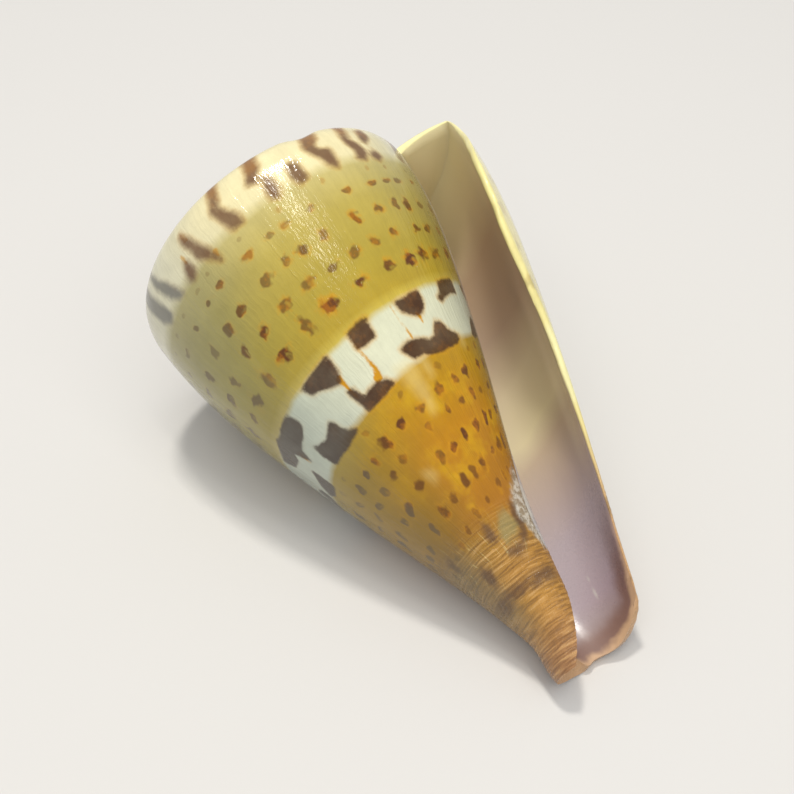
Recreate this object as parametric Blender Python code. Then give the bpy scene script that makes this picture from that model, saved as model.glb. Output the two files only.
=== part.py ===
"""Captain cone shell: a tightly coiled cone with a low stepped spire, a long open mouth and a thin outer lip.

Run it with: blender --background --python part.py

The shell is drawn in its own coordinates first. Its axis is vertical, the front tip is at height 0 and
the apex is at height LENGTH. The growth angle runs back in time: it is 0 at the shoulder of the lip and
grows by a full turn with each older whorl. The finished shell is then laid on its back, mouth up.
"""

import math

import bmesh
import bpy
from mathutils import Matrix, Vector

MM = 0.001
TURN = 2 * math.pi

# Size and coiling
LENGTH = 70.0 * MM
SHOULDER_RADIUS = 25.4 * MM
WHORL_EXPANSION = 1.427
SPIRE_HEIGHT = 5.6 * MM
WHORLS = 8

# Front end: the free edge of the coiled sheet winds in towards the pillar and climbs it
BASE_RADIUS = 7.9 * MM
BASE_SHRINK = 0.221
PILLAR_RADIUS = 1.2 * MM
CLIMB_START = 4.05
CLIMB_RATE = 5.2 * MM
CLIMB_EASES = TURN + 0.4
CLIMB_RATE_INSIDE = 1.2 * MM
PILLAR_END_HEIGHT = 8.0 * MM

# Side of the body whorl: how far it bulges out from a straight cone
BULGE = 0.393
SWELL = 0.362
SWELL_SECOND = 0.105

# Rounding of the shoulder, downwards and inwards, on older shell and at the lip
SHOULDER_DEPTH = 4.0 * MM
SHOULDER_INSET = 2.0 * MM
LIP_SHOULDER_DEPTH = 3.0 * MM
LIP_SHOULDER_INSET = 0.65 * MM
LIP_SHOULDER_BLEND = 1.3
LIP_SHOULDER_START = -0.3

# Lip edge: angle ahead of the shoulder corner at shares of the way from the shoulder to the front end
LIP_SHARES = (0.0, 0.05, 0.15, 0.32, 0.55, 0.8, 1.0)
LIP_ANGLES = (0.0, -0.07, -0.28, -0.38, -0.17, 0.05, 0.44)
LIP_FADE = 1.6

# Walls
WALL = 1.3 * MM
LIP_WALL_THICK = 0.85 * MM
LIP_WALL_THIN = 0.45 * MM
LIP_CORNER_WALL = 0.4 * MM
LIP_CORNER_SHARE = 0.12
LIP_THINS_FROM = 0.5
LIP_THINS_OVER = 0.25
LIP_WALL_FADE = 0.35
ROOF_WALL = 1.2 * MM
INNER_INSET_LESS = 0.65 * MM
INNER_INSET_LEAST = 0.2 * MM
RAMP_SAG = 0.25 * MM
MOST_OF_GAP = 0.42

# Mouth: how far back the hollow runs, and where its slit closes at the front end
HOLLOW_DEPTH = 4.5
CANAL_NARROWS = 1.9
CANAL_CLOSES = 3.8

# Mesh
COLUMNS = 36
RAMP_ROWS = 4
SHOULDER_SHARES = (0.0, 0.06, 0.19, 0.45, 0.72, 1.0)
SIDE_SHARES = (0.05, 0.12, 0.21, 0.31, 0.42, 0.53, 0.64, 0.75, 0.86, 0.94, 1.0)
SUTURE_ROW = 2
ROOF_ROW = 3

# Rest: the shell lies on the back of its body whorl and on its front tip
REST_ANGLE = math.radians(117.0)
FLAT_DEPTH = 0.3 * MM
TOUCH_BETWEEN = (0.25, 0.92)
TOUCH_STEPS = 270

COLOUR = (0.62, 0.5, 0.2, 1.0)
ROUGHNESS = 0.25
SHARP_ANGLE = math.radians(40.0)


def clear_scene():
    for obj in list(bpy.data.objects):
        bpy.data.objects.remove(obj, do_unlink=True)


def smooth_step(value):
    value = min(max(value, 0.0), 1.0)
    return value * value * (3 - 2 * value)


def mix(start, end, share):
    return start + (end - start) * share


def growth(angle):
    return WHORL_EXPANSION ** (-angle / TURN)


def shoulder(angle):
    """Radius and height of the corner that the rounded shoulder is cut from."""
    return SHOULDER_RADIUS * growth(angle), LENGTH - SPIRE_HEIGHT * growth(angle)


def base(angle):
    """Radius and height of the front edge of the coiled sheet."""
    pillar = PILLAR_RADIUS * min(1.0, growth(angle - 2 * TURN))
    radius = max(BASE_RADIUS * math.exp(-BASE_SHRINK * angle), pillar)
    height = CLIMB_RATE * max(min(angle, CLIMB_EASES) - CLIMB_START, 0.0)
    return radius, height + CLIMB_RATE_INSIDE * max(angle - CLIMB_EASES, 0.0)


def shoulder_rounding(angle):
    """Depth and inset of the shoulder's rounding: small at the lip, and shrinking with the spire."""
    blend = smooth_step((angle - LIP_SHOULDER_START) / (LIP_SHOULDER_BLEND - LIP_SHOULDER_START))
    shrink = growth(max(angle - TURN, 0.0))
    depth = mix(LIP_SHOULDER_DEPTH, SHOULDER_DEPTH, blend) * shrink
    return depth, mix(LIP_SHOULDER_INSET, SHOULDER_INSET, blend) * shrink


def rounded_off(share):
    """What a quarter ellipse takes off at a share of its depth: 1 at the top, 0 at the bottom."""
    return 1 - math.sqrt(max(1 - (1 - min(max(share, 0.0), 1.0)) ** 2, 0.0))


def side_radius(angle, height):
    """Radius of the outside of the side wall at a height, before the shoulder is rounded."""
    top_radius, top = shoulder(angle)
    base_radius, bottom = base(angle)
    share = min(max((top - height) / (top - bottom), 0.0), 1.0)
    narrowing = share - BULGE * share * (1 - share)
    narrowing -= SWELL * math.sin(TURN * share) / TURN
    narrowing -= SWELL_SECOND * math.sin(2 * TURN * share) / (2 * TURN)
    return mix(top_radius, base_radius, narrowing)


def outside_radius(angle, height):
    """Radius of the outside of the side wall, with its rounded shoulder."""
    depth, inset = shoulder_rounding(angle)
    return side_radius(angle, height) - inset * rounded_off((shoulder(angle)[1] - height) / depth)


def lip_advance(share):
    """The lip edge's angle at a share of its length, as a smooth curve through the named points."""
    count = len(LIP_SHARES)
    slopes = []
    for i in range(count):
        low, high = max(i - 1, 0), min(i + 1, count - 1)
        slopes.append((LIP_ANGLES[high] - LIP_ANGLES[low]) / (LIP_SHARES[high] - LIP_SHARES[low]))
    i = max(k for k in range(count - 1) if LIP_SHARES[k] <= share or k == 0)
    span = LIP_SHARES[i + 1] - LIP_SHARES[i]
    t = (share - LIP_SHARES[i]) / span
    start, end = LIP_ANGLES[i], LIP_ANGLES[i + 1]
    return (
        start * (1 + 2 * t) * (1 - t) ** 2
        + end * t * t * (3 - 2 * t)
        + span * (slopes[i] * t * (1 - t) ** 2 - slopes[i + 1] * t * t * (1 - t))
    )


def row_place(column, row):
    """Growth angle, height and share of the side's length of one mesh point of the side wall."""
    at = TURN * column / COLUMNS
    fade = max(1 - at / LIP_FADE, 0.0) ** 2
    angle = at
    height = share = 0.0
    for _ in range(4):
        _, top = shoulder(angle)
        _, bottom = base(angle)
        depth, _ = shoulder_rounding(angle)
        if row < len(SHOULDER_SHARES):
            height = top - depth * SHOULDER_SHARES[row]
        else:
            height = mix(top - depth, bottom, SIDE_SHARES[row - len(SHOULDER_SHARES)])
        share = (top - height) / (top - bottom)
        angle = at + fade * lip_advance(share)
    return angle, height, share


def side_point(column, row):
    angle, height, _ = row_place(column, row)
    return angle, outside_radius(angle, height), height


def lip_wall(share):
    """Thickness of the lip's edge: thin at the shoulder corner and along the front half."""
    edge = mix(LIP_WALL_THICK, LIP_WALL_THIN, smooth_step((share - LIP_THINS_FROM) / LIP_THINS_OVER))
    return mix(LIP_CORNER_WALL, edge, smooth_step(share / LIP_CORNER_SHARE))


def wall_thickness(column, angle, height, share):
    """Wall at a point of the side. It thickens inwards from the lip and leaves part of a narrow gap open."""
    at = TURN * column / COLUMNS
    thickness = mix(lip_wall(share), WALL, 1 - math.exp(-at / LIP_WALL_FADE))
    older = angle + TURN
    if height < base(older)[1]:
        inner_radius = base(older)[0]
    else:
        inner_radius = side_radius(older, height)
    return min(thickness, MOST_OF_GAP * (side_radius(angle, height) - inner_radius))


def canal_bottom(column):
    """Radius and height of the inner edge at the front end, which climbs the pillar as the canal closes."""
    at = TURN * column / COLUMNS
    angle, radius, height = side_point(column, last_row())
    close = smooth_step((at - CANAL_NARROWS) / (CANAL_CLOSES - CANAL_NARROWS))
    pillar_radius, pillar_height = base(at + TURN)
    thickness = wall_thickness(column, angle, height, 1.0)
    return mix(radius - thickness, pillar_radius, close), mix(height, pillar_height, close)


def wall_point(column, row):
    """A point of the inner face of the outer wall, one for each point of its outer face."""
    angle, height, share = row_place(column, row)
    _, top = shoulder(angle)
    depth, inset = shoulder_rounding(angle)
    if row == last_row():
        radius, height = canal_bottom(column)
        return angle, radius, height
    roof = roof_thickness(column)
    if row < len(SHOULDER_SHARES):
        inner_top = top - roof
        height = mix(inner_top, top - depth - roof, SHOULDER_SHARES[row])
        off = max(inset - INNER_INSET_LESS, INNER_INSET_LEAST) * rounded_off(SHOULDER_SHARES[row])
    else:
        lowest = canal_bottom(column)[1]
        height = mix(top - depth - roof, lowest, SIDE_SHARES[row - len(SHOULDER_SHARES)])
        off = 0.0
    thickness = wall_thickness(column, angle, height, share)
    return angle, side_radius(angle, height) - thickness - off, height


def roof_thickness(column):
    at = TURN * column / COLUMNS
    return mix(LIP_CORNER_WALL, ROOF_WALL, 1 - math.exp(-at / LIP_WALL_FADE))


def ramp_point(column, row, inner=False):
    """A point of the ramp between the suture and the shoulder, or of the hollow's roof below it."""
    if inner:
        start, end = side_point(column + COLUMNS, ROOF_ROW), wall_point(column, 0)
    else:
        start, end = side_point(column + COLUMNS, SUTURE_ROW), side_point(column, 0)
    share = row / RAMP_ROWS
    sag = 4 * RAMP_SAG * share * (1 - share) * growth(TURN * column / COLUMNS)
    angle = mix(start[0] - TURN, end[0], share)
    return angle, mix(start[1], end[1], share), mix(start[2], end[2], share) - sag


def last_row():
    return len(SHOULDER_SHARES) + len(SIDE_SHARES) - 1


def columns_at(angle):
    return round(angle / TURN * COLUMNS)


def one_name(kind, column, row):
    """The one name of a mesh point that belongs to two surfaces."""
    last = COLUMNS * WHORLS
    if kind == "ramp" and row == RAMP_ROWS:
        return "side", column, 0
    if kind == "ramp" and row == 0:
        return ("side", column + COLUMNS, SUTURE_ROW) if column + COLUMNS <= last else ("apex", 0, 0)
    if kind == "roof" and row == RAMP_ROWS:
        return "wall", column, 0
    if kind == "roof" and row == 0:
        return "side", column + COLUMNS, ROOF_ROW
    if kind == "wall" and row == last_row() and column >= columns_at(CANAL_CLOSES):
        return "side", column + COLUMNS, last_row()
    return kind, column, row


def place(kind, column, row):
    if kind == "apex":
        return Vector((0, 0, LENGTH))
    if kind == "pillar":
        return Vector((0, 0, PILLAR_END_HEIGHT))
    if kind in ("ramp", "roof"):
        angle, radius, height = ramp_point(column, row, kind == "roof")
    else:
        angle, radius, height = {"side": side_point, "wall": wall_point}[kind](column, row)
    return Vector((radius * math.cos(angle), radius * math.sin(angle), height))


class Skin:
    """A mesh under construction whose points are found by name."""

    def __init__(self):
        self.mesh = bmesh.new()
        self.points = {}

    def point(self, name):
        name = one_name(*name)
        if name not in self.points:
            self.points[name] = self.mesh.verts.new(place(*name))
        return self.points[name]

    def face(self, *names):
        corners = []
        for name in names:
            corner = self.point(name)
            if corner not in corners:
                corners.append(corner)
        if len(corners) > 2:
            self.mesh.faces.new(corners)

    def grid(self, kind, columns, rows):
        for column in columns:
            for row in rows:
                self.face(
                    (kind, column, row),
                    (kind, column + 1, row),
                    (kind, column + 1, row + 1),
                    (kind, column, row + 1),
                )


def add_outside(skin):
    last = COLUMNS * WHORLS
    skin.grid("ramp", range(last), range(RAMP_ROWS))
    skin.grid("side", range(last), range(SUTURE_ROW))
    skin.grid("side", range(COLUMNS), range(SUTURE_ROW, last_row()))
    apex_end = [("apex", 0, 0)]
    apex_end += [("ramp", last, row) for row in range(1, RAMP_ROWS)]
    apex_end += [("side", last, row) for row in range(SUTURE_ROW + 1)]
    skin.face(*apex_end)


def add_hollow(skin):
    deep = columns_at(HOLLOW_DEPTH)
    skin.grid("side", range(COLUMNS, COLUMNS + deep), range(ROOF_ROW, last_row()))
    skin.grid("roof", range(deep), range(RAMP_ROWS))
    skin.grid("wall", range(deep), range(last_row()))
    far_end = [("roof", deep, row) for row in range(RAMP_ROWS)]
    far_end += [("wall", deep, row) for row in range(last_row())]
    far_end += [("side", deep + COLUMNS, row) for row in range(last_row(), ROOF_ROW, -1)]
    skin.face(*far_end)


def add_edges(skin):
    """The lip's edge, the front end's edge and the end of the pillar."""
    front = last_row()
    outer = [("ramp", 0, row) for row in range(RAMP_ROWS)]
    outer += [("side", 0, row) for row in range(front + 1)]
    inner = [("roof", 0, row) for row in range(RAMP_ROWS)]
    inner += [("wall", 0, row) for row in range(front + 1)]
    for i in range(len(outer) - 1):
        skin.face(outer[i], outer[i + 1], inner[i + 1], inner[i])
    closes = columns_at(CANAL_CLOSES)
    for column in range(closes):
        skin.face(
            ("side", column, front),
            ("side", column + 1, front),
            ("wall", column + 1, front),
            ("wall", column, front),
        )
    for column in range(closes, closes + COLUMNS):
        skin.face(("side", column, front), ("side", column + 1, front), ("pillar", 0, 0))
    skin.face(("wall", closes, front), ("side", closes, front), ("pillar", 0, 0))


def rest_slope():
    """The slope of the line that touches the back of the body whorl and the front tip."""
    tip = base(REST_ANGLE)[0]
    low, high = TOUCH_BETWEEN
    heights = [LENGTH * mix(low, high, step / TOUCH_STEPS) for step in range(TOUCH_STEPS + 1)]
    touch = max(heights, key=lambda height: (outside_radius(REST_ANGLE, height) - tip) / height)
    return (outside_radius(REST_ANGLE, touch) - FLAT_DEPTH - tip) / touch, tip


def lay_down(mesh):
    """Turns the shell onto its back, the tip towards +X, and cuts the small flat spot it rests on."""
    slope, tip = rest_slope()
    tilt = math.atan(slope)
    turn = Matrix.Rotation(-REST_ANGLE, 4, "Z")
    lay = Matrix.Rotation(math.pi / 2 - tilt, 4, "Y")
    to_floor = Matrix.Translation((-tip, 0, 0))
    mesh.transform(Matrix.Rotation(math.pi, 4, "Z") @ lay @ to_floor @ turn)
    flat = bmesh.ops.bisect_plane(
        mesh,
        geom=mesh.verts[:] + mesh.edges[:] + mesh.faces[:],
        plane_co=(0, 0, 0),
        plane_no=(0, 0, -1),
        clear_outer=True,
    )
    cut = [item for item in flat["geom_cut"] if isinstance(item, bmesh.types.BMEdge)]
    bmesh.ops.contextual_create(mesh, geom=cut)


def centre_on_floor(mesh):
    for axis in range(2):
        places = [vert.co[axis] for vert in mesh.verts]
        middle = (min(places) + max(places)) / 2
        for vert in mesh.verts:
            vert.co[axis] -= middle


def shell_material():
    material = bpy.data.materials.new("cone_shell")
    material.use_nodes = True
    shader = material.node_tree.nodes["Principled BSDF"]
    shader.inputs["Base Color"].default_value = COLOUR
    shader.inputs["Roughness"].default_value = ROUGHNESS
    shader.inputs["Metallic"].default_value = 0.0
    material.diffuse_color = COLOUR
    return material


def build_shell():
    skin = Skin()
    add_outside(skin)
    add_hollow(skin)
    add_edges(skin)
    bmesh.ops.recalc_face_normals(skin.mesh, faces=skin.mesh.faces[:])
    lay_down(skin.mesh)
    centre_on_floor(skin.mesh)
    bmesh.ops.triangulate(skin.mesh, faces=[face for face in skin.mesh.faces if len(face.verts) > 4])
    data = bpy.data.meshes.new("shell")
    skin.mesh.to_mesh(data)
    skin.mesh.free()
    data.materials.append(shell_material())
    data.shade_smooth()
    data.set_sharp_from_angle(angle=SHARP_ANGLE)
    shell = bpy.data.objects.new("shell", data)
    bpy.context.scene.collection.objects.link(shell)
    return shell


clear_scene()
build_shell()
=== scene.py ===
import math
from functools import reduce

import bmesh
import bpy
import numpy as np
from mathutils import Matrix, Vector


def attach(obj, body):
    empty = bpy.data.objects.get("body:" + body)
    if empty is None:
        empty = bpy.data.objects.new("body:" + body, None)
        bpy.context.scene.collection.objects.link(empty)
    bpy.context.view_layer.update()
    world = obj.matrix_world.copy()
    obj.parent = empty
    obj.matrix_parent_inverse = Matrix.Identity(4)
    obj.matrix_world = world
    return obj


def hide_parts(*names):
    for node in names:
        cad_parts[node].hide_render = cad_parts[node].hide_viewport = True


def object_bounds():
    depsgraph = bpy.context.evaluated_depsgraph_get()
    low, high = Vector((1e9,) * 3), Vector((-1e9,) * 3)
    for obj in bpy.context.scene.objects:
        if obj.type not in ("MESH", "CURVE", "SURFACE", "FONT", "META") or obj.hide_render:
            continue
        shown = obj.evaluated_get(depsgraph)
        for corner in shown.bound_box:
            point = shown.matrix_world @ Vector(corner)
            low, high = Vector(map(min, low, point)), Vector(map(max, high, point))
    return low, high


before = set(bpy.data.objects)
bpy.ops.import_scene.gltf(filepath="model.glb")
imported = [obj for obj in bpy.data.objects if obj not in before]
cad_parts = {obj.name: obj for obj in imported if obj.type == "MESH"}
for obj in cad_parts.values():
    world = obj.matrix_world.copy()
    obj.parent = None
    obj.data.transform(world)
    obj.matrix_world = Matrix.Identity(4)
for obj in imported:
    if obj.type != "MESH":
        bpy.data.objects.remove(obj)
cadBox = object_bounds()
print("frame loaded")

mm = 0.001
turn = 2 * math.pi

# The shell is drawn upright first, in millimetres: front tip at height 0, apex at the top.
# The growth angle runs back in time, 0 at the shoulder of the lip and one turn more for each older whorl.
shellForm = {
    "length": 70.0, "shoulderRadius": 25.4, "whorlExpansion": 1.427, "spireHeight": 5.6, "whorls": 8,
    "baseRadius": 7.9, "baseShrink": 0.221, "pillarRadius": 1.2, "pillarEndHeight": 8.0,
    "climbStart": 4.05, "climbRate": 5.2, "climbEases": turn + 0.4, "climbRateInside": 1.2,
    "bulge": 0.393, "swell": 0.362, "swellSecond": 0.105,
    "shoulderDepth": 4.0, "shoulderInset": 2.0, "lipShoulderDepth": 3.0, "lipShoulderInset": 0.65,
    "lipShoulderStart": -0.3, "lipShoulderBlend": 1.3,
    "lipShares": (0.0, 0.05, 0.15, 0.32, 0.55, 0.8, 1.0),
    "lipAngles": (0.0, -0.07, -0.28, -0.38, -0.17, 0.05, 0.44),
    "lipFade": 1.6,
    "wall": 1.3, "lipWallThick": 0.85, "lipWallThin": 0.45, "lipCornerWall": 0.4, "lipCornerShare": 0.12,
    "lipThinsFrom": 0.5, "lipThinsOver": 0.25, "lipWallFade": 0.35, "roofWall": 1.2,
    "innerInsetLess": 0.65, "innerInsetLeast": 0.2, "rampSag": 0.25, "mostOfGap": 0.42, "gapEases": 6.0,
    "wallBlend": 8.0,
    "hollowDepth": 4.5, "canalNarrows": 1.9, "canalCloses": 3.8,
    "restAngle": math.radians(117.0), "flatDepth": 0.3, "touchBetween": (0.25, 0.92), "touchSteps": 270,
}

# Small departures from the even coil: the worn shoulder, the rounded end of the lip and the flared tip
shellWear = {
    "notchAngle": 5.2, "notchWidth": 0.17, "notchDepth": 0.5,
    "cornerHeight": 4.3, "cornerStart": 0.28, "cornerWidth": 0.75, "frontWave": 0.35, "frontWaves": 5.5,
    "frontWaveEnds": 2.1, "frontWaveFades": 0.4,
    "flare": 1.6, "flareHeight": 6.0, "flareAngle": 3.4, "flareWidth": 1.3,
    "lipWave": 0.007, "lipWaves": ((31, 1.0, 0), (53, 0.7, 1), (97, 0.4, 2)), "lipWaveStarts": 0.1,
    "lipRise": 0.35, "lipRiseOver": 0.5,
}

# How finely the surface is drawn. The suture and the hollow's roof start at fixed shares of the shoulder's
# rounding.
shellMesh = {
    "columns": 264, "hollowStep": 4, "rampRows": 6,
    "sutureShare": 0.19, "roofShare": 0.45, "roundSteps": (4, 4, 4),
    "sideSteps": (76, 92), "sideDenseFrom": 0.76, "edgeSteps": 4, "edgeBulge": 0.16,
    "sharpOver": 70, "rowPasses": 6, "leastRadius": 1.0,
}


def smoothStep(value):
    value = np.clip(value, 0.0, 1.0)
    return value * value * (3 - 2 * value)


def mix(start, end, share):
    return start + (end - start) * share


def hump(value, middle, width):  # 1 in the middle, 0 from one width away
    return smoothStep(1 - np.abs(value - middle) / width)


def growth(angle):
    return shellForm["whorlExpansion"] ** (-np.asarray(angle, float) / turn)


def shoulder(angle):  # radius and height of the corner that the rounding is cut from
    size = growth(angle)
    return shellForm["shoulderRadius"] * size, shellForm["length"] - shellForm["spireHeight"] * size


def base(angle):  # radius and height of the front edge of the coiled sheet
    f = shellForm
    pillar = f["pillarRadius"] * np.minimum(1.0, growth(angle - 2 * turn))
    radius = np.maximum(f["baseRadius"] * np.exp(-f["baseShrink"] * angle), pillar)
    height = f["climbRate"] * np.maximum(np.minimum(angle, f["climbEases"]) - f["climbStart"], 0.0)
    return radius, height + f["climbRateInside"] * np.maximum(angle - f["climbEases"], 0.0)


def shoulderRounding(angle):  # depth and inset of the rounding
    f = shellForm
    blend = smoothStep((angle - f["lipShoulderStart"]) / (f["lipShoulderBlend"] - f["lipShoulderStart"]))
    shrink = growth(np.maximum(angle - turn, 0.0))
    depth = mix(f["lipShoulderDepth"], f["shoulderDepth"], blend) * shrink
    return depth, mix(f["lipShoulderInset"], f["shoulderInset"], blend) * shrink


def roundedOff(share):
    return 1 - np.sqrt(np.maximum(1 - (1 - np.clip(share, 0.0, 1.0)) ** 2, 0.0))


def sideRadius(angle, height):  # before the shoulder is rounded
    f = shellForm
    topRadius, top = shoulder(angle)
    baseRadius, bottom = base(angle)
    share = np.clip((top - height) / (top - bottom), 0.0, 1.0)
    narrowing = share - f["bulge"] * share * (1 - share)
    narrowing = narrowing - f["swell"] * np.sin(turn * share) / turn
    narrowing = narrowing - f["swellSecond"] * np.sin(2 * turn * share) / (2 * turn)
    return mix(topRadius, baseRadius, narrowing)


def outsideRadius(angle, height):
    depth, inset = shoulderRounding(angle)
    return sideRadius(angle, height) - inset * roundedOff((shoulder(angle)[1] - height) / depth)


def shoulderNotch(angle):  # how far the shoulder's edge is worn down
    w = shellWear
    return w["notchDepth"] * hump(angle, w["notchAngle"], w["notchWidth"])


def frontTrim(angle):  # how far the free front edge stands back from the even coil's
    w = shellWear
    corner = w["cornerHeight"] * roundedOff((angle - w["cornerStart"]) / w["cornerWidth"])
    wave = w["frontWave"] * (0.5 - 0.5 * np.cos(w["frontWaves"] * angle))
    return corner + wave * smoothStep((w["frontWaveEnds"] - angle) / w["frontWaveFades"])


def tipFlare(angle, height):  # how far the tip stands out on its worn side
    w = shellWear
    low = smoothStep(1 - height / w["flareHeight"])
    return w["flare"] * low * hump(angle, w["flareAngle"], w["flareWidth"])


def lipAdvance(share):  # the lip edge's angle at a share of its length, smooth through the named points
    shares, angles = np.array(shellForm["lipShares"]), np.array(shellForm["lipAngles"])
    last = len(shares) - 1
    before, after = np.maximum(np.arange(last + 1) - 1, 0), np.minimum(np.arange(last + 1) + 1, last)
    slopes = (angles[after] - angles[before]) / (shares[after] - shares[before])
    i = np.clip(np.searchsorted(shares, share, side="right") - 1, 0, last - 1)
    span = shares[i + 1] - shares[i]
    t = (share - shares[i]) / span
    ease = angles[i] * (1 + 2 * t) * (1 - t) ** 2 + angles[i + 1] * t * t * (3 - 2 * t)
    ease = ease + span * (slopes[i] * t * (1 - t) ** 2 - slopes[i + 1] * t * t * (1 - t))
    w = shellWear
    waves = sum(size * np.sin(rate * share + start) for rate, size, start in w["lipWaves"])
    return ease + w["lipWave"] * waves * smoothStep(share / w["lipWaveStarts"])


def rowShares():  # for each row: share of the shoulder's rounding, then share of the wall below it
    m = shellMesh
    stops = [0.0, math.acos(1 - m["sutureShare"]), math.acos(1 - m["roofShare"]), math.pi / 2]
    bends = [0.0]
    for i, steps in enumerate(m["roundSteps"]):
        bends += [mix(stops[i], stops[i + 1], (k + 1) / steps) for k in range(steps)]
    rounding = 1 - np.cos(bends)
    upper, lower = m["sideSteps"]
    below = np.concatenate([
        np.linspace(0, m["sideDenseFrom"], upper + 1)[1:],
        np.linspace(m["sideDenseFrom"], 1, lower + 1)[1:],
    ])
    inRounding = np.concatenate([rounding, np.ones(len(below))])
    return inRounding, np.concatenate([np.zeros(len(rounding)), below])


inRounding, below = rowShares()
lastRow = len(below) - 1
sutureRow = shellMesh["roundSteps"][0]
roofRow = sutureRow + shellMesh["roundSteps"][1]


def rowPlace(at, worn):  # growth angle, height and share of the side for every row of these columns
    at = np.asarray(at, float)[:, None]
    fade = np.maximum(1 - at / shellForm["lipFade"], 0.0) ** 2
    angle = at + 0 * below
    for _ in range(shellMesh["rowPasses"]):
        top, bottom = shoulder(angle)[1], base(angle)[1]
        start = top - worn * shoulderNotch(angle)
        height = start - shoulderRounding(angle)[0] * inRounding
        height = mix(height, bottom + frontTrim(angle), below)
        share = (top - height) / (top - bottom)
        angle = at + fade * lipAdvance(share)
    return angle, height, share


def roofThickness(at):
    f = shellForm
    return mix(f["lipCornerWall"], f["roofWall"], 1 - np.exp(-np.asarray(at, float) / f["lipWallFade"]))


def wallThickness(at, angle, height, share):
    f = shellForm
    thins = smoothStep((share - f["lipThinsFrom"]) / f["lipThinsOver"])
    edge = mix(f["lipWallThick"], f["lipWallThin"], thins)
    edge = mix(f["lipCornerWall"], edge, smoothStep(share / f["lipCornerShare"]))
    thickness = mix(edge, f["wall"], 1 - np.exp(-at / f["lipWallFade"]))
    olderRadius, olderHeight = base(angle + turn)
    above = smoothStep((height - olderHeight) / f["gapEases"])
    inner = mix(olderRadius, sideRadius(angle + turn, np.maximum(height, olderHeight)), above)
    most = f["mostOfGap"] * (sideRadius(angle, height) - inner)
    power = -f["wallBlend"]
    return (thickness ** power + most ** power) ** (1 / power)


def canalBottom(at):  # inner edge at the front end, which climbs the pillar as the canal closes
    f = shellForm
    angle, height, share = (part[:, -1] for part in rowPlace(at, 0))
    close = smoothStep((at - f["canalNarrows"]) / (f["canalCloses"] - f["canalNarrows"]))
    pillarRadius, pillarHeight = base(at + turn)
    radius = outsideRadius(angle, height) - wallThickness(at, angle, height, share)
    return mix(radius, pillarRadius, close), mix(height, pillarHeight, close)


def sidePlace(at):
    angle, height, _ = rowPlace(at, 1)
    depth = shoulderRounding(angle)[0]
    worn = height + shoulderNotch(angle) * smoothStep((height - shoulder(angle)[1] + 2 * depth) / depth)
    return angle, outsideRadius(angle, worn) + tipFlare(angle, height), height


def wallPlace(at):  # inner face of the outer wall, one point for each point of its outer face
    f = shellForm
    at = np.asarray(at, float)
    angle, _, share = rowPlace(at, 0)
    column = at[:, None]
    depth, inset = shoulderRounding(angle)
    ceiling = shoulder(angle)[1] - roofThickness(column)
    canalRadius, canalHeight = canalBottom(at)
    lower = mix(ceiling - depth, canalHeight[:, None], below)
    inner = np.where(below > 0, lower, ceiling - depth * inRounding)
    least = np.maximum(inset - f["innerInsetLess"], f["innerInsetLeast"])
    off = np.where(below > 0, 0.0, least * roundedOff(inRounding))
    radius = sideRadius(angle, inner) - wallThickness(column, angle, inner, share) - off
    radius[:, -1], inner[:, -1] = canalRadius, canalHeight
    return angle, radius, inner


def rampPlace(at, start, end):  # from the suture out to the shoulder, sagging a little between
    w = shellWear
    share = np.linspace(0, 1, shellMesh["rampRows"] + 1)
    sag = mix(-w["lipRise"], shellForm["rampSag"], smoothStep(at[:, None] / w["lipRiseOver"]))
    sag = 4 * sag * share * (1 - share) * growth(at)[:, None]
    angle, radius, height = (mix(a[:, None], b[:, None], share) for a, b in zip(start, end))
    return angle, radius, height - sag


farFromRim = 50.0  # millimetres, where the distance to the mouth's rim doesn't matter


class shellSkin:  # points and faces gathered from grids, each face corner with its place on the shell
    def __init__(self):
        self.places, self.outside, self.count = [], [], 0
        self.faces, self.corners = [], []

    def add(self, place, outside=0.0):
        self.places.append(np.stack(np.broadcast_arrays(*place), -1).reshape(-1, 3))
        self.outside.append(np.full(np.size(place[0]), outside))
        indices = np.arange(self.count, self.count + np.size(place[0])).reshape(np.shape(place[0]))
        self.count += indices.size
        return indices

    def grid(self, indices, facts):  # facts: growth angle, height, share across the ramp, glaze, rim
        quad = lambda a: np.stack([a[:-1, :-1], a[1:, :-1], a[1:, 1:], a[:-1, 1:]], -1).reshape(-1, 4)
        corners = np.stack([quad(np.broadcast_to(fact, indices.shape)) for fact in facts], -1)
        for face, corner in zip(quad(indices).tolist(), corners):
            self.face(face, corner)

    def face(self, face, corner):
        keep = [k for k in range(len(face)) if face[k] != face[k - 1]]
        if len(keep) > 2:
            self.faces.append([int(face[k]) for k in keep])
            self.corners.append([corner[k] for k in keep])


# The glaze that the mouth lays over the older whorl: where it starts, lower down and higher up
mouthGlaze = {"lowAngle": 5.42, "highAngle": 6.02, "lowHeight": 15.0, "highHeight": 30.0, "width": 0.16,
              "bareBelow": 13.4, "bareOver": 2.0, "bareUntil": 6.0}


def glazeShare(angle, height):  # 1 where the older whorl lies under the mouth's glaze
    g = mouthGlaze
    rise = smoothStep((height - g["lowHeight"]) / (g["highHeight"] - g["lowHeight"]))
    edge = mix(g["lowAngle"], g["highAngle"], rise)
    covered = smoothStep((angle - edge) / g["width"])
    bare = smoothStep((g["bareBelow"] - height) / g["bareOver"]) * (angle < g["bareUntil"])
    return covered * (1 - bare)


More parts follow.
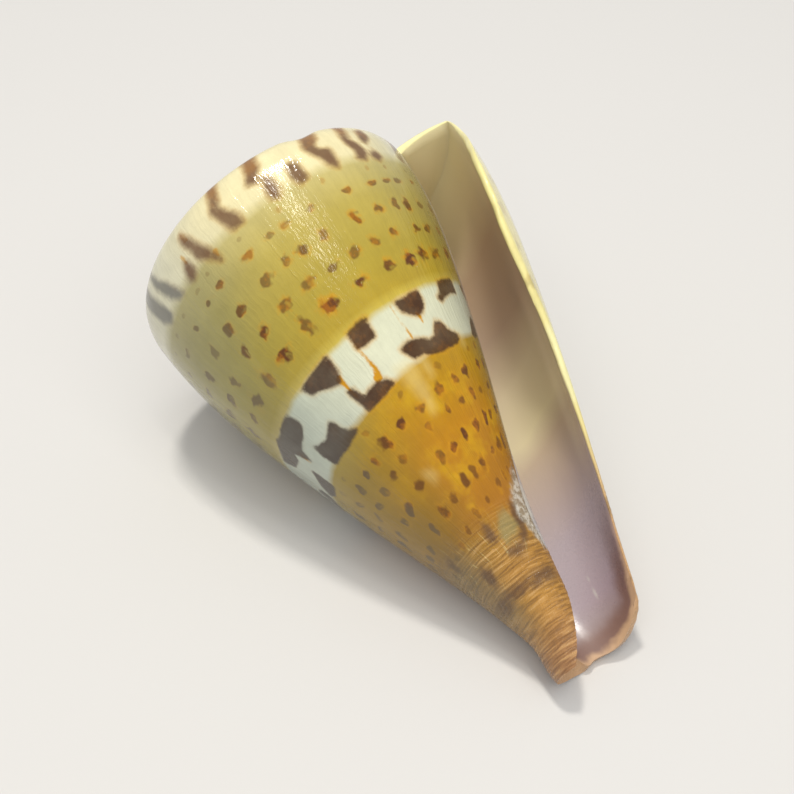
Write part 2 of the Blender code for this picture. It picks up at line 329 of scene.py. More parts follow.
def buildSkin():
    m = shellMesh
    perTurn, step = m["columns"], m["hollowStep"]
    last = perTurn * shellForm["whorls"]
    at = turn * np.arange(last + 1) / perTurn
    snap = lambda angle: int(round(angle / turn * perTurn / step)) * step
    closes, deep = snap(shellForm["canalCloses"]), snap(shellForm["hollowDepth"])
    coarse = np.arange(0, deep + 1, step)
    older = coarse + perTurn
    skin = shellSkin()

    side = np.full((last + 1, lastRow + 1), -1)
    place = sidePlace(at)
    side[:perTurn + 1] = skin.add([part[:perTurn + 1] for part in place], 1.0)
    side[perTurn + 1:, :sutureRow + 1] = skin.add([part[perTurn + 1:, :sutureRow + 1] for part in place])
    side[older[1:], roofRow:] = skin.add([part[older[1:], roofRow:] for part in place])
    apex = int(skin.add([np.zeros(1), np.zeros(1), np.full(1, shellForm["length"])])[0])
    pillar = int(skin.add([np.zeros(1), np.zeros(1), np.full(1, shellForm["pillarEndHeight"])])[0])

    suture = [part[perTurn:, sutureRow] for part in place]
    suture[0] = suture[0] - turn
    ends = [at[-perTurn:], np.zeros(perTurn), np.full(perTurn, shellForm["length"])]
    ramp = rampPlace(at, [np.concatenate(pair) for pair in zip(suture, ends)], [part[:, 0] for part in place])
    rampIndex = skin.add(ramp)
    rampIndex[:, -1] = side[:, 0]
    rampIndex[:, 0] = np.concatenate([side[perTurn:, sutureRow], np.full(perTurn, apex)])

    wall = wallPlace(at[coarse])
    wallIndex = skin.add(wall)
    joins = coarse >= closes
    wallIndex[joins, -1] = side[older[joins], lastRow]
    roofStart = [part[older, roofRow] for part in place]
    roofStart[0] = roofStart[0] - turn
    roof = rampPlace(at[coarse], roofStart, [part[:, 0] for part in wall])
    roofIndex = skin.add(roof)
    roofIndex[:, -1] = wallIndex[:, 0]
    roofIndex[:, 0] = side[older, roofRow]

    across = np.linspace(0, 1, m["rampRows"] + 1)
    whorlTop = (slice(None), slice(0, sutureRow + 1))
    body = (slice(0, perTurn + 1), slice(sutureRow, lastRow + 1))
    hollow = (older, slice(roofRow, lastRow + 1))
    skin.grid(rampIndex, [ramp[0], ramp[2], across, 0.0, farFromRim])
    for (columns, rows), glaze in ((whorlTop, 0.0), (body, glazeShare(place[0], place[2])), (hollow, 1.0)):
        parts = (side, place[0], place[2], np.broadcast_to(glaze, side.shape))
        indices, angle, height, glazed = (part[columns][:, rows] for part in parts)
        skin.grid(indices, [angle, height, 1.0, glazed, farFromRim])
    back = at[coarse][:, None]
    skin.grid(roofIndex, [roof[0], roof[2], 1.0, 1.0, back * roof[1]])
    skin.grid(wallIndex, [wall[0], wall[2], 1.0, 1.0, np.minimum(back * wall[1], wall[2] - wall[2][:, -1:])])
    lipEnd = addLipEdge(skin, ramp, place, rampIndex, side, roof, wall, roofIndex, wallIndex)
    addFrontEdge(skin, place, side, wall, wallIndex, coarse[coarse <= closes], lipEnd, pillar)
    addEnds(skin, last, deep, ramp, rampIndex, side, wall, roofIndex, wallIndex)
    return skin


def edgeRows(outer, inner, ahead):  # points of a rounded edge between an outer and an inner line
    share = np.linspace(0, 1, shellMesh["edgeSteps"] + 1)[:, None]
    angle, radius, height = (mix(a, b, share) for a, b in zip(outer, inner))
    thickness = np.hypot(outer[1] - inner[1], outer[2] - inner[2])
    bulge = shellMesh["edgeBulge"] * thickness * np.sin(math.pi * share)
    return angle - ahead * bulge / np.maximum(radius, shellMesh["leastRadius"]), radius, height


def addLipEdge(skin, ramp, place, rampIndex, side, roof, wall, roofIndex, wallIndex):
    outer = [np.concatenate([ramp[i][0, :-1], place[i][0]]) for i in range(3)]
    inner = [np.concatenate([roof[i][0, :-1], wall[i][0]]) for i in range(3)]
    rows = edgeRows(outer, inner, 1.0)
    indices = skin.add(rows)
    indices[0] = np.concatenate([rampIndex[0, :-1], side[0]])
    indices[-1] = np.concatenate([roofIndex[0, :-1], wallIndex[0]])
    indices[:, 0] = side[shellMesh["columns"], sutureRow:roofRow + 1]
    skin.grid(indices, [rows[0], rows[2], 1.0, 0.0, 0.0])
    return indices[:, -1]


def addFrontEdge(skin, place, side, wall, wallIndex, slots, lipEnd, pillar):
    perTurn, step = shellMesh["columns"], shellMesh["hollowStep"]
    outer = [part[slots, lastRow] for part in place]
    inner = [part[:len(slots), -1] for part in wall]
    rows = edgeRows(outer, inner, 0.0)
    indices = skin.add(rows)
    indices[0] = side[slots, lastRow]
    indices[-1] = wallIndex[:len(slots), -1]
    indices[:, 0] = lipEnd
    skin.grid(indices[1:], [rows[0][1:], rows[2][1:], 1.0, 0.0, 0.0])
    for k in range(len(slots) - 1):  # the outer columns are finer than the edge's
        ring = list(side[slots[k]:slots[k + 1] + 1, lastRow]) + [indices[1, k + 1], indices[1, k]]
        skin.face(ring, [(outer[0][k], outer[2][k], 1.0, 0.0, 0.0)] * len(ring))
    closes = int(slots[-1])
    fan = list(range(closes, perTurn)) + list(range(perTurn, closes + perTurn + 1, step))
    for first, second in zip(fan[:-1], fan[1:]):
        facts = (place[0][first, -1], place[2][first, -1], 1.0, 1.0, farFromRim)
        skin.face([side[first, lastRow], side[second, lastRow], pillar], [facts] * 3)
    ring = list(indices[:, len(slots) - 1]) + [pillar]
    skin.face(ring, [(outer[0][-1], outer[2][-1], 1.0, 1.0, farFromRim)] * len(ring))


def addEnds(skin, last, deep, ramp, rampIndex, side, wall, roofIndex, wallIndex):
    apexEnd = list(rampIndex[last, :-1]) + list(side[last, :sutureRow + 1])
    skin.face(apexEnd, [(ramp[0][last, 0], shellForm["length"], 0.0, 0.0, farFromRim)] * len(apexEnd))
    farEnd = list(roofIndex[-1, :-1]) + list(wallIndex[-1, :-1])
    farEnd += list(side[deep + shellMesh["columns"], lastRow:roofRow:-1])
    skin.face(farEnd, [(wall[0][-1, 0], wall[2][-1, 0], 1.0, 1.0, farFromRim)] * len(farEnd))


def restPlace():  # turns the upright shell onto its back, in metres, the front tip towards +X
    f = shellForm
    tip = float(base(f["restAngle"])[0])
    low, high = f["touchBetween"]
    heights = f["length"] * np.linspace(low, high, f["touchSteps"] + 1)
    radii = outsideRadius(f["restAngle"], heights)
    touch = int(np.argmax((radii - tip) / heights))
    tilt = math.atan((radii[touch] - f["flatDepth"] - tip) / heights[touch])
    spin = Matrix.Rotation(-f["restAngle"], 4, "Z")
    lay = Matrix.Rotation(math.pi / 2 - tilt, 4, "Y")
    facing = Matrix.Scale(mm, 4) @ Matrix.Rotation(math.pi, 4, "Z")
    return facing @ lay @ Matrix.Translation((-tip, 0, 0)) @ spin


# The markings are placed by growth angle and by the share of the way from the apex down to the front tip.
# Those of the side that shows are outlined one by one, and the far side repeats them, moved and stretched.
shellMarks = {
    "acrossScale": 18.0, "downScale": 66.0, "reach": 3.0, "farStep": 2.72, "farEnd": 0.35, "farCopies": 2,
    "farShift": 0.07, "farStretch": 0.18, "notCopied": ("crust", "moss"), "seed": 7, "dotSpacing": 0.196,
    "dotShift": 0.035, "dotSizes": 0.22, "dotRange": (-0.35, 6.15), "dotStrengths": (0.75, 1.15),
    "dotDrift": 0.003, "dotReach": 0.15, "noDot": 9.0, "rayFirst": 0.7, "rayStep": 0.33,
    "raySteps": (0.6, 1.4), "rayWidth": 0.075, "rayWidths": (0.5, 1.5), "rayLean": 0.12,
    "rayStarts": (-0.3, 0.5), "rayTaper": 0.5, "raySway": 0.03, "rayBends": 5, "rayScale": 14.0,
    "mostGlaze": 0.9, "sideEnds": turn + 0.3,
}

blots = {
    "dark": (
        ((3.55, .525), (3.87, .527), (3.90, .56), (3.80, .572), (3.68, .575), (3.64, .60), (3.60, .57),
         (3.57, .545)),
        ((4.14, .53), (4.43, .526), (4.42, .56), (4.39, .577), (4.33, .572), (4.25, .558), (4.17, .548)),
        ((4.665, .523), (4.83, .521), (4.80, .559), (4.70, .56), (4.66, .557)),
        ((5.10, .532), (5.33, .53), (5.33, .55), (5.30, .565), (5.24, .575), (5.20, .568), (5.12, .552)),
        ((5.60, .526), (5.82, .524), (5.82, .554), (5.70, .552), (5.60, .56), (5.54, .566), (5.52, .558),
         (5.58, .548)),
        ((6.02, .535), (6.25, .525), (6.30, .55), (6.20, .567), (6.08, .56)),
        ((3.53, .61), (3.54, .66), (3.40, .66), (3.34, .646), (3.42, .627)),
        ((3.81, .603), (3.86, .613), (3.95, .622), (4.02, .62), (4.09, .611), (4.12, .625), (4.14, .645),
         (4.22, .662), (4.05, .663), (3.90, .658), (3.82, .655), (3.80, .63)),
        ((4.385, .603), (4.415, .606), (4.45, .637), (4.52, .633), (4.62, .634), (4.67, .64),
         (4.71, .654), (4.55, .657), (4.41, .655)),
        ((4.93, .614), (5.05, .612), (5.13, .622), (5.21, .634), (5.29, .63), (5.31, .62), (5.36, .603),
         (5.42, .612), (5.45, .628), (5.50, .64), (5.58, .649), (5.50, .66), (5.30, .662), (5.15, .655),
         (5.10, .643), (4.99, .642)),
        ((5.87, .653), (5.93, .63), (6.0, .612), (6.08, .62), (6.06, .65), (5.95, .659)),
        ((3.60, .07), (3.68, .07), (3.72, .12), (3.80, .20), (3.74, .206), (3.67, .18), (3.63, .13)),
        ((3.80, .07), (3.84, .11), (3.92, .155), (3.99, .206), (3.94, .202), (3.88, .18), (3.83, .13)),
        ((4.13, .17), (4.155, .18), (4.155, .20), (4.12, .212), (4.08, .203), (4.10, .185)),
        ((4.21, .12), (4.24, .14), (4.27, .17), (4.31, .20), (4.33, .235), (4.27, .205), (4.22, .19),
         (4.23, .165), (4.195, .145)),
        ((4.51, .06), (4.56, .07), (4.53, .125), (4.50, .145), (4.52, .165), (4.57, .185), (4.57, .207),
         (4.50, .207), (4.48, .18), (4.46, .155), (4.46, .14), (4.49, .12)),
        ((4.79, .06), (4.85, .06), (4.83, .12), (4.79, .145), (4.77, .155), (4.72, .15), (4.75, .13)),
        ((4.81, .155), (4.84, .16), (4.85, .195), (4.83, .212), (4.79, .203), (4.80, .175)),
        ((4.98, .16), (5.02, .158), (5.04, .185), (5.04, .207), (4.98, .212), (4.97, .19)),
        ((5.23, .06), (5.30, .06), (5.25, .12), (5.20, .14), (5.21, .155), (5.28, .16), (5.28, .185),
         (5.26, .212), (5.23, .20), (5.20, .175), (5.14, .14), (5.16, .12)),
        ((5.48, .06), (5.55, .06), (5.49, .12), (5.47, .15), (5.52, .165), (5.54, .185), (5.50, .207),
         (5.45, .20), (5.47, .18), (5.43, .15), (5.44, .125)),
        ((5.60, .12), (5.66, .11), (5.66, .14), (5.60, .16), (5.57, .155)),
        ((5.60, .19), (5.64, .185), (5.66, .20), (5.62, .212), (5.59, .205)),
        ((5.94, .06), (6.0, .06), (6.02, .15), (6.0, .18), (5.96, .20), (5.90, .19), (5.95, .14)),
    ),
    "amber": (
        ((4.36, .57), (4.43, .56), (4.42, .60), (4.43, .64), (4.39, .62), (4.385, .59)),
        ((4.64, .553), (4.67, .553), (4.675, .59), (4.69, .606), (4.655, .61), (4.645, .59)),
        ((4.60, .637), (4.60, .622), (4.66, .604), (4.69, .61), (4.67, .637)),
        ((4.64, .53), (4.67, .523), (4.67, .56), (4.64, .558)),
        ((5.20, .567), (5.28, .567), (5.235, .598)),
        ((5.32, .53), (5.345, .53), (5.345, .548), (5.31, .56)),
        ((5.04, .525), (5.065, .525), (5.06, .57), (5.085, .60), (5.085, .615), (5.05, .615),
         (5.05, .57)),
        ((3.60, .57), (3.66, .57), (3.65, .60), (3.61, .606)),
        ((4.13, .15), (4.165, .155), (4.15, .18), (4.12, .19)),
        ((4.22, .10), (4.245, .13), (4.25, .15), (4.20, .145)),
        ((4.36, .20), (4.34, .235), (4.30, .205)),
        ((4.70, .19), (4.74, .19), (4.72, .205)),
        ((5.54, .64), (5.62, .648), (5.56, .658)),
    ),
    "pale": (
        ((4.80, .64), (4.92, .64), (4.96, .66), (4.94, .70), (4.90, .74), (4.86, .745), (4.84, .70)),
        ((5.02, .648), (5.08, .648), (5.07, .685), (5.04, .69)),
        # the small pale spot here is a painted glint; the other pale patches are the shell's own colour
        ((4.39, .82), (4.45, .825), (4.47, .832), (4.42, .835)),
        ((5.57, .645), (5.62, .65), (5.61, .67), (5.58, .665)),
    ),
    "crust": (
        ((5.14, 1.02), (5.18, .99), (5.34, .968), (5.62, .955), (5.70, 1.02), (5.60, 1.10), (5.42, 1.125),
         (5.30, 1.10), (5.20, 1.06)),
    ),
    "moss": (
        ((4.60, 1.03), (4.60, 1.008), (4.80, .98), (4.95, .983), (5.03, 1.03), (4.85, 1.04)),
    ),
    "stain": (
        ((4.42, .985), (4.50, .962), (4.58, .965), (4.56, 1.0), (4.50, 1.01), (4.42, 1.0)),
        ((4.52, 1.032), (4.60, 1.038), (4.85, 1.048), (5.0, 1.04), (5.02, 1.0), (5.12, .99), (5.24, 1.0),
         (5.22, 1.04), (5.10, 1.07), (4.85, 1.068), (4.62, 1.052), (4.50, 1.045)),
        ((3.92, 1.005), (4.02, 1.0), (4.10, 1.02), (4.04, 1.04), (3.94, 1.035)),
        ((3.62, .93), (3.75, .93), (3.74, .955), (3.64, .955)),
    ),
}

dotRows = (
    {"down": 0.231, "half": (0.020, 0.006), "strength": 0.3,
     "angles": (4.08, 4.2, 4.33, 4.5, 4.78, 5.12, 5.46)},
    {"down": 0.268, "half": (0.034, 0.0085), "strength": 0.75,
     "angles": (3.65, 3.88, 4.08, 4.22, 4.47, 4.64, 4.76, 4.94, 5.22, 5.43, 5.56, 5.69, 5.89)},
    {"down": 0.333, "half": (0.040, 0.0125), "strength": 0.85,
     "angles": (3.44, 3.62, 3.85, 4.06, 4.22, 4.47, 4.64, 4.76, 4.93, 5.17, 5.37, 5.53, 5.66, 5.82)},
    {"down": 0.396, "half": (0.044, 0.0125), "strength": 0.9,
     "angles": (3.42, 3.6, 3.78, 4.03, 4.24, 4.46, 4.65, 4.84, 5.03, 5.19, 5.39, 5.63, 5.78)},
    {"down": 0.458, "half": (0.052, 0.0165), "strength": 1.0,
     "angles": (3.42, 3.6, 3.78, 4.0, 4.23, 4.48, 4.67, 4.95, 5.21, 5.42, 5.55, 5.74)},
    {"down": 0.68, "half": (0.030, 0.008), "strength": 0.4, "angles": (3.73, 4.25, 4.7, 5.15, 5.65)},
    {"down": 0.722, "half": (0.050, 0.0135), "strength": 1.0,
     "angles": (3.55, 3.76, 3.96, 4.13, 4.32, 4.55, 4.78, 5.04, 5.26, 5.45, 5.74)},
    {"down": 0.767, "half": (0.044, 0.012), "strength": 0.8,
     "angles": (3.75, 3.95, 4.15, 4.33, 4.74, 5.02, 5.22)},
    {"down": 0.822, "half": (0.056, 0.0135), "strength": 1.0,
     "angles": (3.55, 3.8, 3.98, 4.26, 4.64, 4.83, 5.04, 5.24, 5.45, 5.6)},
    {"down": 0.886, "half": (0.060, 0.0135), "strength": 0.95,
     "angles": (3.68, 4.0, 4.24, 4.44, 4.7, 4.87, 5.05, 5.3, 5.5)},
    {"down": 0.945, "half": (0.050, 0.011), "strength": 0.55, "angles": (3.9, 4.1, 4.3, 4.55, 4.8, 5.1)},
)


def outlineDistance(x, y, outline):  # distance to a closed outline, below zero inside it
    nearest, inside = np.full(x.shape, np.inf), np.zeros(x.shape, bool)
    for (ax, ay), (bx, by) in zip(outline, np.roll(outline, -1, 0)):
        dx, dy = bx - ax, by - ay
        t = np.clip(((x - ax) * dx + (y - ay) * dy) / (dx * dx + dy * dy), 0, 1)
        nearest = np.minimum(nearest, np.hypot(x - ax - t * dx, y - ay - t * dy))
        if ay != by:
            inside ^= ((ay > y) != (by > y)) & (x < ax + (y - ay) * dx / dy)
    return np.where(inside, -nearest, nearest)


def blotField(angle, down, outlines, random, copies):  # distance in millimetres to the nearest of these marks
    m = shellMarks
    scale = np.array([m["acrossScale"], m["downScale"]])
    x, y = angle * scale[0], down * scale[1]
    field = np.full(x.shape, m["reach"])
    for copy in range(copies + 1):
        for outline in outlines:
            points = np.array(outline)
            if copy:
                middle = points.mean(0)
                stretch = 1 + m["farStretch"] * random.uniform(-1, 1, 2)
                shift = np.array([m["farShift"] * random.uniform(-1, 1) - copy * m["farStep"], 0])
                points = middle + (points - middle) * stretch + shift
                if middle[0] + shift[0] < m["farEnd"]:
                    continue
            points = points * scale
            low, high = points.min(0) - m["reach"], points.max(0) + m["reach"]
            near = (x > low[0]) & (x < high[0]) & (y > low[1]) & (y < high[1])
            field[near] = np.minimum(field[near], outlineDistance(x[near], y[near], points))
    return field


def rayField(angle, across, random):  # distance to the nearest brown ray across the tops of the whorls
    m = shellMarks
    field = np.full(angle.shape, m["reach"])
    middle = m["rayFirst"]
    while middle < turn * shellForm["whorls"]:
        width = m["rayWidth"] * random.uniform(*m["rayWidths"])
        lean = random.uniform(-1, 1) * m["rayLean"]
        bend = random.uniform(0, turn)
        start = random.uniform(*m["rayStarts"])
        near = np.abs(angle - middle) < 1.5 * m["rayStep"]
        part = across[near]
        line = middle + lean * (part - 1) + m["raySway"] * np.sin(bend + m["rayBends"] * part)
        distance = np.abs(angle[near] - line) - width * smoothStep((part - start) / m["rayTaper"])
        field[near] = np.minimum(field[near], distance * m["rayScale"])
        middle += m["rayStep"] * random.uniform(*m["raySteps"])
    return field


def allDots(random):  # angle, share down, half sizes and strength of every dot
    m = shellMarks
    dots = []
    for row in dotRows:
        first, last = row["angles"][0], row["angles"][-1]
        angles = list(row["angles"])
        angles += list(np.arange(first - m["dotSpacing"], m["dotRange"][0], -m["dotSpacing"]))
        angles += list(np.arange(last + m["dotSpacing"], m["dotRange"][1], m["dotSpacing"]))
        for k, angle in enumerate(angles):
            shift = m["dotShift"] * random.uniform(-1, 1) * (k >= len(row["angles"]))
            size = 1 + m["dotSizes"] * random.uniform(-1, 1, 2)
            strength = row["strength"] * random.uniform(*m["dotStrengths"])
            down = row["down"] + m["dotDrift"] * random.uniform(-1, 1)
            dots.append([angle + shift, down, *(row["half"] * size), strength])
    return np.array(dots)


def cornerMarks(facts, counts):  # each face corner's marks, and its place beside the face's nearest dot
    m = shellMarks
    random = np.random.default_rng(m["seed"])
    angle, height, across, glaze, _ = facts.T
    down = (shellForm["length"] - height) / (shellForm["length"] * growth(angle))
    onTop = across < 1
    side = ~onTop & (glaze < m["mostGlaze"]) & (angle < m["sideEnds"])
    marks = {}
    for kind, outlines in blots.items():
        marks[kind + "Mark"] = np.full(len(angle), m["reach"])
        copies = 0 if kind in m["notCopied"] else m["farCopies"]
        marks[kind + "Mark"][side] = blotField(angle[side], down[side], outlines, random, copies)
    rays = rayField(angle, across, random)
    marks["darkMark"] = np.where(onTop | (angle > turn), rays, marks["darkMark"])
    dots = allDots(random)
    firsts = np.concatenate([[0], np.cumsum(counts)[:-1]])
    middles = np.stack([np.add.reduceat(angle, firsts), np.add.reduceat(down, firsts)], -1) / counts[:, None]
    faces = np.nonzero(np.minimum.reduceat(side, firsts))[0]
    place = np.full((len(angle), 2), m["noDot"])
    strength = np.zeros(len(angle))
    faceOf = np.repeat(np.arange(len(counts)), counts)
    nearest = np.full(len(counts), -1)
    gaps = np.full(len(counts), np.inf)
    for k, dot in enumerate(dots):
        near = faces[np.abs(middles[faces, 0] - dot[0]) < m["dotReach"]]
        gap = np.hypot((middles[near, 0] - dot[0]) / dot[2], (middles[near, 1] - dot[1]) / dot[3])
        closer = gap < gaps[near]
        gaps[near[closer]], nearest[near[closer]] = gap[closer], k
    painted = nearest[faceOf] >= 0
    chosen = dots[nearest[faceOf[painted]]]
    place[painted] = (np.stack([angle[painted], down[painted]], -1) - chosen[:, :2]) / chosen[:, 2:4]
    strength[painted] = chosen[:, 4]
    marks["dotStrength"] = strength
    return down, marks, place


def meshFromSkin(skin, name):
    mesh = bpy.data.meshes.new(name)
    used = np.array(sorted({index for face in skin.faces for index in face}))
    newIndex = dict(zip(used.tolist(), range(len(used))))
    places = np.concatenate(skin.places)[used]
    angle, radius, height = places.T
    points = np.stack([radius * np.cos(angle), radius * np.sin(angle), height], -1)
    mesh.from_pydata(points.tolist(), [], [[newIndex[i] for i in face] for face in skin.faces])
    counts = np.array([len(face) for face in skin.faces])
    facts = np.concatenate([np.asarray(corner, float) for corner in skin.corners])
    down, marks, place = cornerMarks(facts, counts)
    for label, values in (("growthMap", np.stack([facts[:, 0] / turn, down], -1)), ("dotMap", place)):
        mesh.uv_layers.new(name=label).uv.foreach_set("vector", values.astype(np.float32).ravel())
    corners = dict(zip(("height", "across", "glaze", "rim"), facts.T[1:]), **marks)
    points = {"pointAngle": angle, "pointHeight": height, "outside": np.concatenate(skin.outside)[used]}
    for domain, fields in (("CORNER", corners), ("POINT", points)):
        for label, values in fields.items():
            layer = mesh.attributes.new(label, "FLOAT", domain)
            layer.data.foreach_set("value", values.astype(np.float32))
    return mesh


def layDown(mesh):  # lays the mesh down, cuts its flat spot and centres it in the frame's box
    work = bmesh.new()
    work.from_mesh(mesh)
    work.transform(restPlace())
    everything = work.verts[:] + work.edges[:] + work.faces[:]
    bmesh.ops.bisect_plane(work, geom=everything, plane_co=(0, 0, 0), plane_no=(0, 0, -1), clear_outer=True)
    bmesh.ops.holes_fill(work, edges=[edge for edge in work.edges if edge.is_boundary], sides=0)
    bmesh.ops.recalc_face_normals(work, faces=work.faces[:])
    places = np.array([vert.co[:] for vert in work.verts])
    low, high = places.min(0), places.max(0)
    fit = min(1.0, float(((np.array(cadBox[1]) - np.array(cadBox[0])) / (high - low)).min()))
    place = Matrix.Scale(fit, 4) @ Matrix.Translation((-(low[0] + high[0]) / 2, -(low[1] + high[1]) / 2, 0))
    work.transform(place)
    opened = sum(1 for edge in work.edges if not edge.is_manifold)
    work.to_mesh(mesh)
    work.free()
    print("laid down, fit", round(fit, 5), "open edges", opened)
    return place


# Relief: spiral ribs round the front end and low growth ridges, both pressed into the surface
shellRelief = {
    "Rib spacing": 0.62, "Rib depth": 0.04, "Ribs below": 19.0, "Ribs fade over": 5.0, "Ridge depth": 0.06,
    "Ridge rate": 7.0, "Pit depth": 0.035, "Lean below": 14.0, "Lean": 0.1, "Seed": 3.0,
}
reliefDetail = {"swayRate": 0.35, "sway": 1.6, "ridgeDrift": 0.05, "pitScale": 400.0, "pitsAbove": 0.55,
                "clearOfFloor": 0.5 * mm}


def wire(tree, kind, inputs=None, **settings):  # adds a node, its inputs given as values or as sockets
    node = tree.nodes.new(kind)
    for name, value in settings.items():
        setattr(node, name, value)
    for name, value in (inputs or {}).items():
        if isinstance(value, bpy.types.NodeSocket):
            tree.links.new(value, node.inputs[name])
        else:
            node.inputs[name].default_value = value
    return node


def maths(tree, operation, *values):
    return wire(tree, "ShaderNodeMath", dict(enumerate(values)), operation=operation).outputs[0]


def sums(tree):  # short names for the sums in a node tree; the first two take any number of values
    chain = lambda kind: lambda *values: reduce(lambda a, b: maths(tree, kind, a, b), values)
    plain = lambda kind: lambda *values: maths(tree, kind, *values)
    others = ("SUBTRACT", "DIVIDE", "MULTIPLY_ADD", "MAXIMUM", "COSINE")
    return [chain("ADD"), chain("MULTIPLY")] + [plain(kind) for kind in others]


def between(tree, value, low, high):  # 0 at low and 1 at high, with a soft start and end
    inputs = {"Value": value, "From Min": low, "From Max": high}
    node = wire(tree, "ShaderNodeMapRange", inputs, interpolation_type="SMOOTHSTEP", clamp=True)
    return node.outputs["Result"]


def join(tree, x, y, z=0.0):
    return wire(tree, "ShaderNodeCombineXYZ", {0: x, 1: y, 2: z}).outputs[0]


def noise(tree, vector, scale, detail, roughness=0.5):
    inputs = {"Vector": vector, "Scale": scale, "Detail": detail, "Roughness": roughness}
    return wire(tree, "ShaderNodeTexNoise", inputs).outputs[0]


def scaled(tree, vector, size):
    return wire(tree, "ShaderNodeVectorMath", {0: vector, "Scale": size}, operation="SCALE").outputs[0]


def reliefTree(material):
    tree = bpy.data.node_groups.new("shellRelief", "GeometryNodeTree")
    tree.interface.new_socket("Geometry", in_out="INPUT", socket_type="NodeSocketGeometry")
    for label in shellRelief:
        tree.interface.new_socket(label, in_out="INPUT", socket_type="NodeSocketFloat")
    tree.interface.new_socket("Geometry", in_out="OUTPUT", socket_type="NodeSocketGeometry")
    given = tree.nodes.new("NodeGroupInput").outputs
    read = lambda label: wire(tree, "GeometryNodeInputNamedAttribute", {"Name": label}).outputs["Attribute"]
    angle, height, outside = read("pointAngle"), read("pointHeight"), read("outside")
    place = wire(tree, "GeometryNodeInputPosition").outputs[0]
    plus, times, minus, ratio, timesPlus, larger, cosine = sums(tree)
    d = reliefDetail

    sway = noise(tree, join(tree, times(height, d["swayRate"]), angle), 1.0, 1.0)
    swayed = timesPlus(sway, d["sway"], height)
    rib = timesPlus(cosine(times(ratio(swayed, given["Rib spacing"]), turn)), -0.5, 0.5)
    ribStart = minus(given["Ribs below"], given["Ribs fade over"])
    ribs = times(rib, between(tree, height, given["Ribs below"], ribStart), given["Rib depth"])

    slant = times(larger(minus(given["Lean below"], height), 0.0), given["Lean"])
    line = times(plus(angle, slant), given["Ridge rate"])
    ridge = noise(tree, join(tree, line, times(height, d["ridgeDrift"]), given["Seed"]), 1.0, 2.0)
    pit = noise(tree, scaled(tree, place, d["pitScale"]), 1.0, 1.0)
    pits = times(larger(minus(pit, d["pitsAbove"]), 0.0), given["Pit depth"])

    floorGap = wire(tree, "ShaderNodeSeparateXYZ", {0: place}).outputs[2]
    clear = between(tree, floorGap, 0.0, d["clearOfFloor"])
    depth = times(plus(ribs, times(ridge, given["Ridge depth"]), pits), times(outside, clear))
    inward = scaled(tree, wire(tree, "GeometryNodeInputNormal").outputs[0], times(depth, -mm))
    pressed = wire(tree, "GeometryNodeSetPosition", {"Geometry": given["Geometry"], "Offset": inward})
    whole = wire(tree, "GeometryNodeRealizeInstances", {"Geometry": pressed.outputs[0]})
    finished = wire(tree, "GeometryNodeSetMaterial", {"Geometry": whole.outputs[0], "Material": material})
    wire(tree, "NodeGroupOutput", {"Geometry": finished.outputs[0]})
    return tree


def pressRelief(mesh, material):  # runs the relief tree and returns its result as a plain mesh
    rough = bpy.data.objects.new("rough_shell", mesh)
    bpy.context.scene.collection.objects.link(rough)
    modifier = rough.modifiers.new("relief", "NODES")
    modifier.node_group = reliefTree(material)
    for socket in modifier.node_group.interface.items_tree:
        if socket.in_out == "INPUT" and socket.name in shellRelief:
            modifier[socket.identifier] = shellRelief[socket.name]
    graph = bpy.context.evaluated_depsgraph_get()
    pressed = bpy.data.meshes.new_from_object(rough.evaluated_get(graph), depsgraph=graph)
    rough.modifiers.remove(modifier)
    bpy.data.objects.remove(rough)
    for label in ("pointAngle", "pointHeight", "outside"):
        pressed.attributes.remove(pressed.attributes[label])
    pressed.shade_smooth()
    pressed.set_sharp_from_angle(angle=math.radians(shellMesh["sharpOver"]))
    return pressed


def paint(red, green, blue):  # a colour as seen on a screen, turned into light
    linear = [((c / 255 + 0.055) / 1.055) ** 2.4 if c > 10 else c / 255 / 12.92 for c in (red, green, blue)]
    return (*linear, 1.0)
